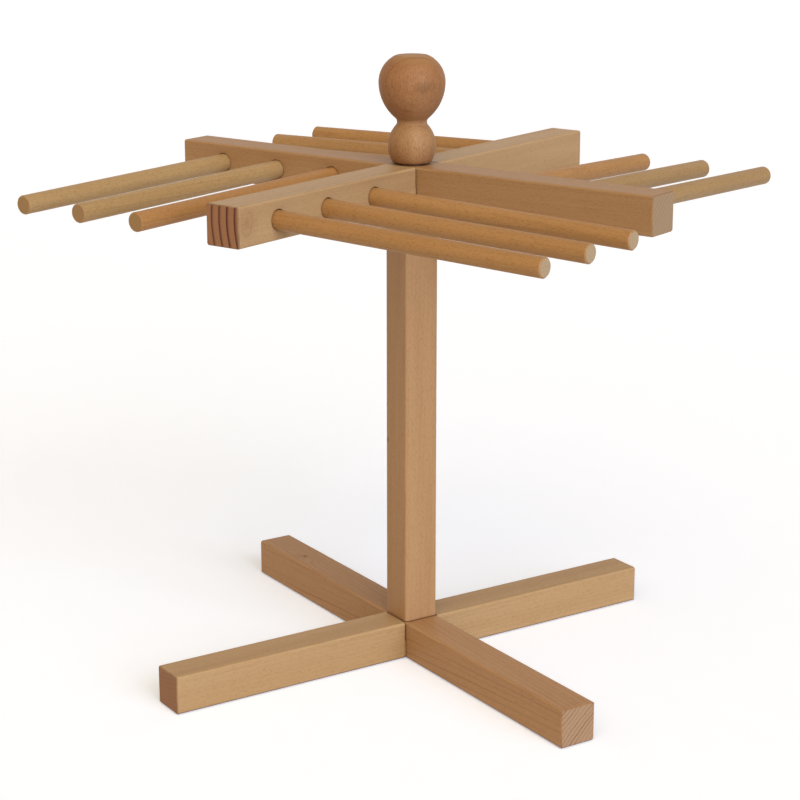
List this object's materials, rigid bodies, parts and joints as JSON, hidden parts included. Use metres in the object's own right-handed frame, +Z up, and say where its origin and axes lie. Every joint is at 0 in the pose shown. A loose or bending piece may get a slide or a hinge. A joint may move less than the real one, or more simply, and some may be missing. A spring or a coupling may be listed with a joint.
{
  "type": "pasta drying rack",
  "caption": "Free-standing wooden rack for drying fresh pasta: a square post on a cross base carries a turning cross with push-in side pegs, held down by a turned screw knob.",
  "frame": {"origin": "on the table, under the centre of the post", "axes": "+Z up along the post; +X and +Y along two arms of the turning head at rest, -Y along the arm that points to the front left of the picture; the base cross is turned 20 degrees clockwise from the head, seen from above"},
  "size_m": [0.3998, 0.3997, 0.406],
  "materials": {
    "beech_bar": "planed and finely sanded beech, unvarnished",
    "beech_peg": "sanded beech dowel",
    "beech_knob": "turned and sanded beech, a little redder and silkier than the bars",
    "zinc_steel": "bright zinc-plated steel"
  },
  "bodies": {
    "stand": {"base_lower_bar": "beech_bar", "base_upper_bar": "beech_bar", "base_screw": "zinc_steel", "post": "beech_bar", "post_insert": "zinc_steel"},
    "head": {"head_lower_bar": "beech_bar", "head_upper_bar": "beech_bar"},
    "washer": {"knob_washer": "zinc_steel"},
    "knob": {"knob": "beech_knob", "knob_stud": "zinc_steel"},
    "peg_front_inner": {"peg_front_inner": "beech_peg"},
    "peg_front_middle": {"peg_front_middle": "beech_peg"},
    "peg_front_outer": {"peg_front_outer": "beech_peg"},
    "peg_right_inner": {"peg_right_inner": "beech_peg"},
    "peg_right_middle": {"peg_right_middle": "beech_peg"},
    "peg_right_outer": {"peg_right_outer": "beech_peg"},
    "peg_back_inner": {"peg_back_inner": "beech_peg"},
    "peg_back_middle": {"peg_back_middle": "beech_peg"},
    "peg_back_outer": {"peg_back_outer": "beech_peg"},
    "peg_left_inner": {"peg_left_inner": "beech_peg"},
    "peg_left_middle": {"peg_left_middle": "beech_peg"},
    "peg_left_outer": {"peg_left_outer": "beech_peg"}
  },
  "joints": [
    {"name": "head_spin", "type": "hinge", "parent": "stand", "child": "head", "pos_m": [0, 0, 0.3115], "axis": [0, 0, 1], "continuous": true},
    {"name": "knob_turn", "type": "hinge", "parent": "stand", "child": "washer", "pos_m": [0, 0, 0.3365], "axis": [0, 0, 1], "range_deg": [0, 2880]},
    {"name": "knob_rise", "type": "slide", "parent": "washer", "child": "knob", "axis": [0, 0, 1], "range_m": [0, 0.0101]},
    {"name": "peg_front_inner_pull", "type": "slide", "parent": "head", "child": "peg_front_inner", "axis": [0.9996, 0, -0.0278], "range_m": [0, 0.018]},
    {"name": "peg_front_middle_pull", "type": "slide", "parent": "head", "child": "peg_front_middle", "axis": [0.9996, 0, -0.0278], "range_m": [0, 0.018]},
    {"name": "peg_front_outer_pull", "type": "slide", "parent": "head", "child": "peg_front_outer", "axis": [0.9996, 0, -0.0278], "range_m": [0, 0.018]},
    {"name": "peg_right_inner_pull", "type": "slide", "parent": "head", "child": "peg_right_inner", "axis": [0, 0.9993, -0.0378], "range_m": [0, 0.018]},
    {"name": "peg_right_middle_pull", "type": "slide", "parent": "head", "child": "peg_right_middle", "axis": [0, 0.9993, -0.0378], "range_m": [0, 0.018]},
    {"name": "peg_right_outer_pull", "type": "slide", "parent": "head", "child": "peg_right_outer", "axis": [0, 0.9993, -0.0378], "range_m": [0, 0.018]},
    {"name": "peg_back_inner_pull", "type": "slide", "parent": "head", "child": "peg_back_inner", "axis": [-0.9997, 0, -0.0244], "range_m": [0, 0.018]},
    {"name": "peg_back_middle_pull", "type": "slide", "parent": "head", "child": "peg_back_middle", "axis": [-0.9997, 0, -0.0244], "range_m": [0, 0.018]},
    {"name": "peg_back_outer_pull", "type": "slide", "parent": "head", "child": "peg_back_outer", "axis": [-0.9997, 0, -0.0244], "range_m": [0, 0.018]},
    {"name": "peg_left_inner_pull", "type": "slide", "parent": "head", "child": "peg_left_inner", "axis": [0, -1, -0.01], "range_m": [0, 0.018]},
    {"name": "peg_left_middle_pull", "type": "slide", "parent": "head", "child": "peg_left_middle", "axis": [0, -1, -0.01], "range_m": [0, 0.018]},
    {"name": "peg_left_outer_pull", "type": "slide", "parent": "head", "child": "peg_left_outer", "axis": [0, -1, -0.01], "range_m": [0, 0.018]}
  ],
  "couplings": [
    {"joint": "knob_rise", "follows": "knob_turn", "m_per_rad": 0.00019894}
  ]
}
